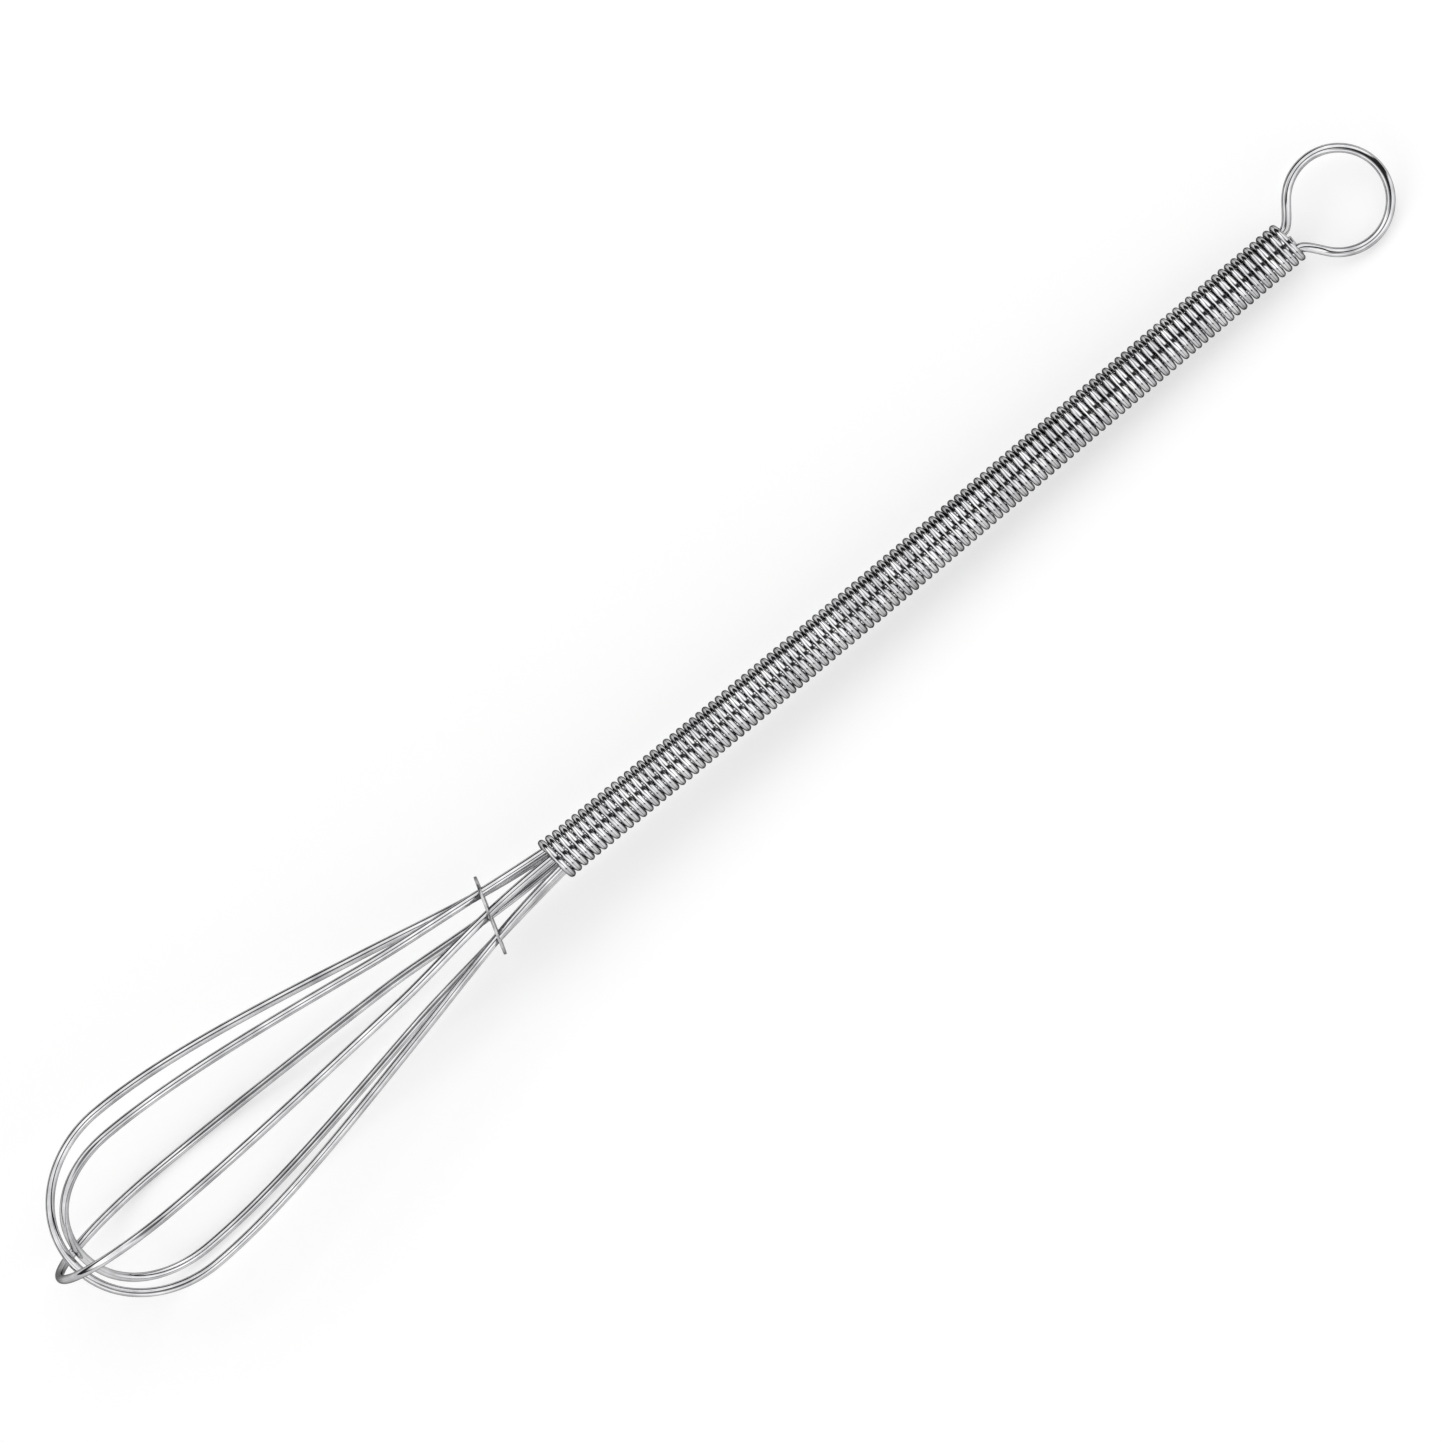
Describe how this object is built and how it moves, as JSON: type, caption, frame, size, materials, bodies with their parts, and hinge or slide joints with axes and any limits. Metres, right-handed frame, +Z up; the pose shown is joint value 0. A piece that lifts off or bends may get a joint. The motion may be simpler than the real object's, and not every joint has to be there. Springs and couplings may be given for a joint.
{
  "type": "mini whisk",
  "caption": "Small all-wire whisk: a coil-wound handle with a hanging ring, nested balloon loops and a loose spreader disc where the loops leave the handle.",
  "frame": {"origin": "middle of the foot of the box round the whisk as it lies on a surface, on the surface itself", "axes": "+X along the handle towards the hanging ring, +Z up from the surface the whisk lies on"},
  "size_m": [0.1778, 0.0218, 0.0191],
  "materials": {
    "balloon_wire": "bright drawn stainless wire, polished",
    "ring_wire": "bright drawn stainless wire with fine draw marks",
    "coil_wire": "bright spring wire, wound",
    "disc_plate": "punched and tumbled sheet steel"
  },
  "bodies": {
    "wire_frame": {"handle_coil": "coil_wire", "hanging_ring": "ring_wire", "outer_loop": "balloon_wire", "middle_loop": "balloon_wire", "inner_loop": "balloon_wire"},
    "disc": {"spreader_disc": "disc_plate"}
  },
  "joints": [
    {"name": "disc_rock", "type": "hinge", "parent": "wire_frame", "child": "disc", "pos_m": [-0.03121, 0, 0.00756], "axis": [0.0432, -0.309, 0.9501], "range_deg": [0, 36.6]}
  ]
}
